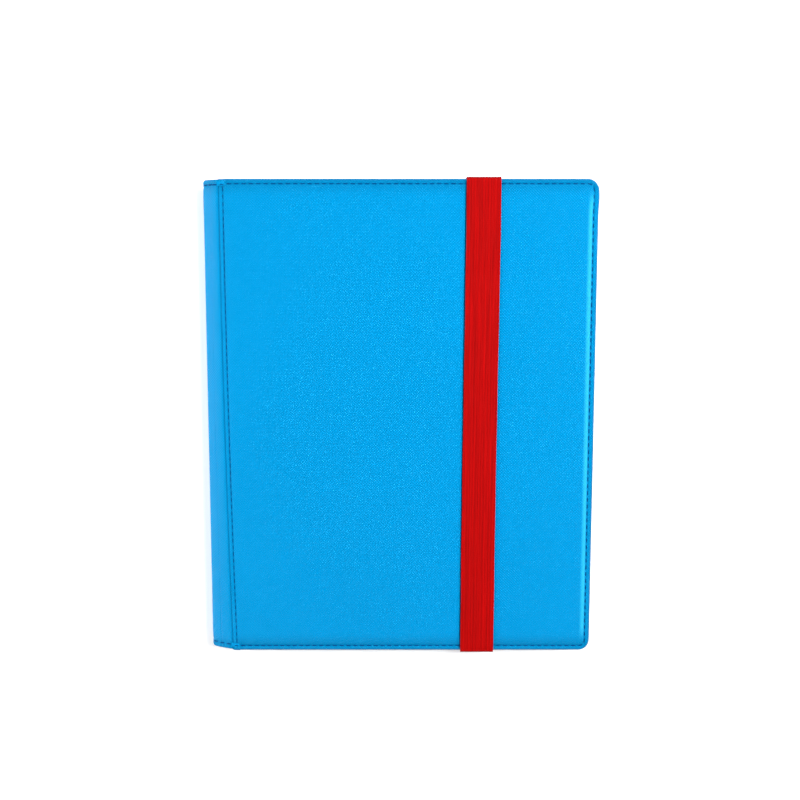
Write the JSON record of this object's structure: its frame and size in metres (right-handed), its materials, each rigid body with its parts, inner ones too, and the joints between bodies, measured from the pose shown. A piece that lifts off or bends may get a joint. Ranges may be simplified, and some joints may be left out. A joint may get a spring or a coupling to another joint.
{
  "type": "trading card binder",
  "caption": "Closed card binder with padded stitched covers, a flexible two-gutter spine, side-loading pocket leaves and a vertical elastic strap.",
  "frame": {"origin": "centre of the bounding box's bottom face: on the back cover's outer face, under the middle of the closed binder", "axes": "+X from the spine to the fore-edge, +Y along the spine towards the covers' top edge, +Z from the back cover to the front cover"},
  "size_m": [0.277, 0.3426, 0.0273],
  "materials": {
    "leatherette": "bright blue grained leatherette with a fine diagonal cross-hatch",
    "foam": "soft open-cell padding",
    "greyboard": "plain grey bookbinding board",
    "lining": "black napped lining cloth",
    "thread": "dark blue bonded sewing thread",
    "elastic": "red ribbed woven elastic",
    "block": "black moulded plastic",
    "pocket_sheet": "black backing sheet under clear embossed pocket film"
  },
  "bodies": {
    "back_cover": {"back_skin": "leatherette", "back_foam": "foam", "back_board": "greyboard", "back_lining": "lining", "back_stitching": "thread", "strap_end_tabs": "elastic"},
    "rear_gutter": {"rear_gutter_skin": "leatherette", "rear_gutter_lining": "lining", "rear_gutter_stitching": "thread"},
    "spine": {"spine_skin": "leatherette", "spine_board": "greyboard", "spine_lining": "lining", "spine_stitching": "thread", "page_binding_block": "block"},
    "front_gutter": {"front_gutter_skin": "leatherette", "front_gutter_lining": "lining", "front_gutter_stitching": "thread"},
    "front_cover": {"front_skin": "leatherette", "front_foam": "foam", "front_board": "greyboard", "front_lining": "lining", "front_stitching": "thread"},
    "strap": {"elastic_strap": "elastic"},
    "leaf_01": {"leaf_01": "pocket_sheet"},
    "leaf_02": {"leaf_02": "pocket_sheet"},
    "leaf_03": {"leaf_03": "pocket_sheet"},
    "leaf_04": {"leaf_04": "pocket_sheet"},
    "leaf_05": {"leaf_05": "pocket_sheet"},
    "leaf_06": {"leaf_06": "pocket_sheet"},
    "leaf_07": {"leaf_07": "pocket_sheet"},
    "leaf_08": {"leaf_08": "pocket_sheet"},
    "leaf_09": {"leaf_09": "pocket_sheet"},
    "leaf_10": {"leaf_10": "pocket_sheet"},
    "leaf_11": {"leaf_11": "pocket_sheet"},
    "leaf_12": {"leaf_12": "pocket_sheet"},
    "leaf_13": {"leaf_13": "pocket_sheet"},
    "leaf_14": {"leaf_14": "pocket_sheet"},
    "leaf_15": {"leaf_15": "pocket_sheet"},
    "leaf_16": {"leaf_16": "pocket_sheet"},
    "leaf_17": {"leaf_17": "pocket_sheet"},
    "leaf_18": {"leaf_18": "pocket_sheet"},
    "leaf_19": {"leaf_19": "pocket_sheet"},
    "leaf_20": {"leaf_20": "pocket_sheet"}
  },
  "joints": [
    {"name": "rear_crease", "type": "hinge", "parent": "back_cover", "child": "rear_gutter", "pos_m": [-0.1253, 0, 0.0008], "axis": [0, -1, 0], "range_deg": [0, 24.5]},
    {"name": "cover_opening", "type": "hinge", "parent": "rear_gutter", "child": "spine", "pos_m": [-0.1377, 0, 0.00645], "axis": [0, -1, 0], "range_deg": [0, 65.5]},
    {"name": "front_spine_fold", "type": "hinge", "parent": "spine", "child": "front_gutter", "pos_m": [-0.1377, 0, 0.01955], "axis": [0, -1, 0], "range_deg": [0, 65.5]},
    {"name": "front_crease", "type": "hinge", "parent": "front_gutter", "child": "front_cover", "pos_m": [-0.1253, 0, 0.0252], "axis": [0, -1, 0], "range_deg": [0, 24.5]},
    {"name": "strap_release", "type": "slide", "parent": "back_cover", "child": "strap", "axis": [0, 0, -1], "range_m": [0, 0.0274], "deforming": ["elastic_strap"]},
    {"name": "leaf_01_turn", "type": "hinge", "parent": "spine", "child": "leaf_01", "pos_m": [-0.1285, 0, 0.0073], "axis": [0, -1, 0], "range_deg": [-90, 0]},
    {"name": "leaf_02_turn", "type": "hinge", "parent": "spine", "child": "leaf_02", "pos_m": [-0.1285, 0, 0.0079], "axis": [0, -1, 0], "range_deg": [-88, 0]},
    {"name": "leaf_03_turn", "type": "hinge", "parent": "spine", "child": "leaf_03", "pos_m": [-0.1285, 0, 0.0085], "axis": [0, -1, 0], "range_deg": [-86, 0]},
    {"name": "leaf_04_turn", "type": "hinge", "parent": "spine", "child": "leaf_04", "pos_m": [-0.1285, 0, 0.0091], "axis": [0, -1, 0], "range_deg": [-84, 0]},
    {"name": "leaf_05_turn", "type": "hinge", "parent": "spine", "child": "leaf_05", "pos_m": [-0.1285, 0, 0.0097], "axis": [0, -1, 0], "range_deg": [-82, 0]},
    {"name": "leaf_06_turn", "type": "hinge", "parent": "spine", "child": "leaf_06", "pos_m": [-0.1285, 0, 0.0103], "axis": [0, -1, 0], "range_deg": [-80, 0]},
    {"name": "leaf_07_turn", "type": "hinge", "parent": "spine", "child": "leaf_07", "pos_m": [-0.1285, 0, 0.0109], "axis": [0, -1, 0], "range_deg": [-78, 0]},
    {"name": "leaf_08_turn", "type": "hinge", "parent": "spine", "child": "leaf_08", "pos_m": [-0.1285, 0, 0.0115], "axis": [0, -1, 0], "range_deg": [-76, 0]},
    {"name": "leaf_09_turn", "type": "hinge", "parent": "spine", "child": "leaf_09", "pos_m": [-0.1285, 0, 0.0121], "axis": [0, -1, 0], "range_deg": [-74, 0]},
    {"name": "leaf_10_turn", "type": "hinge", "parent": "spine", "child": "leaf_10", "pos_m": [-0.1285, 0, 0.0127], "axis": [0, -1, 0], "range_deg": [-72, 0]},
    {"name": "leaf_11_turn", "type": "hinge", "parent": "spine", "child": "leaf_11", "pos_m": [-0.1285, 0, 0.0133], "axis": [0, -1, 0], "range_deg": [0, 72]},
    {"name": "leaf_12_turn", "type": "hinge", "parent": "spine", "child": "leaf_12", "pos_m": [-0.1285, 0, 0.0139], "axis": [0, -1, 0], "range_deg": [0, 74]},
    {"name": "leaf_13_turn", "type": "hinge", "parent": "spine", "child": "leaf_13", "pos_m": [-0.1285, 0, 0.0145], "axis": [0, -1, 0], "range_deg": [0, 76]},
    {"name": "leaf_14_turn", "type": "hinge", "parent": "spine", "child": "leaf_14", "pos_m": [-0.1285, 0, 0.0151], "axis": [0, -1, 0], "range_deg": [0, 78]},
    {"name": "leaf_15_turn", "type": "hinge", "parent": "spine", "child": "leaf_15", "pos_m": [-0.1285, 0, 0.0157], "axis": [0, -1, 0], "range_deg": [0, 80]},
    {"name": "leaf_16_turn", "type": "hinge", "parent": "spine", "child": "leaf_16", "pos_m": [-0.1285, 0, 0.0163], "axis": [0, -1, 0], "range_deg": [0, 82]},
    {"name": "leaf_17_turn", "type": "hinge", "parent": "spine", "child": "leaf_17", "pos_m": [-0.1285, 0, 0.0169], "axis": [0, -1, 0], "range_deg": [0, 84]},
    {"name": "leaf_18_turn", "type": "hinge", "parent": "spine", "child": "leaf_18", "pos_m": [-0.1285, 0, 0.0175], "axis": [0, -1, 0], "range_deg": [0, 86]},
    {"name": "leaf_19_turn", "type": "hinge", "parent": "spine", "child": "leaf_19", "pos_m": [-0.1285, 0, 0.0181], "axis": [0, -1, 0], "range_deg": [0, 88]},
    {"name": "leaf_20_turn", "type": "hinge", "parent": "spine", "child": "leaf_20", "pos_m": [-0.1285, 0, 0.0187], "axis": [0, -1, 0], "range_deg": [0, 90]}
  ],
  "couplings": [
    {"joint": "rear_crease", "follows": "cover_opening", "ratio": 0.37405},
    {"joint": "front_spine_fold", "follows": "cover_opening", "ratio": 1},
    {"joint": "front_crease", "follows": "cover_opening", "ratio": 0.37405},
    {"joint": "strap_release", "follows": "cover_opening", "m_per_rad": 0.023968},
    {"joint": "leaf_01_turn", "follows": "cover_opening", "ratio": -1.374},
    {"joint": "leaf_02_turn", "follows": "cover_opening", "ratio": -1.3435},
    {"joint": "leaf_03_turn", "follows": "cover_opening", "ratio": -1.313},
    {"joint": "leaf_04_turn", "follows": "cover_opening", "ratio": -1.2824},
    {"joint": "leaf_05_turn", "follows": "cover_opening", "ratio": -1.2519},
    {"joint": "leaf_06_turn", "follows": "cover_opening", "ratio": -1.2214},
    {"joint": "leaf_07_turn", "follows": "cover_opening", "ratio": -1.1908},
    {"joint": "leaf_08_turn", "follows": "cover_opening", "ratio": -1.1603},
    {"joint": "leaf_09_turn", "follows": "cover_opening", "ratio": -1.1298},
    {"joint": "leaf_10_turn", "follows": "cover_opening", "ratio": -1.0992},
    {"joint": "leaf_11_turn", "follows": "cover_opening", "ratio": 1.0992},
    {"joint": "leaf_12_turn", "follows": "cover_opening", "ratio": 1.1298},
    {"joint": "leaf_13_turn", "follows": "cover_opening", "ratio": 1.1603},
    {"joint": "leaf_14_turn", "follows": "cover_opening", "ratio": 1.1908},
    {"joint": "leaf_15_turn", "follows": "cover_opening", "ratio": 1.2214},
    {"joint": "leaf_16_turn", "follows": "cover_opening", "ratio": 1.2519},
    {"joint": "leaf_17_turn", "follows": "cover_opening", "ratio": 1.2824},
    {"joint": "leaf_18_turn", "follows": "cover_opening", "ratio": 1.313},
    {"joint": "leaf_19_turn", "follows": "cover_opening", "ratio": 1.3435},
    {"joint": "leaf_20_turn", "follows": "cover_opening", "ratio": 1.374}
  ]
}
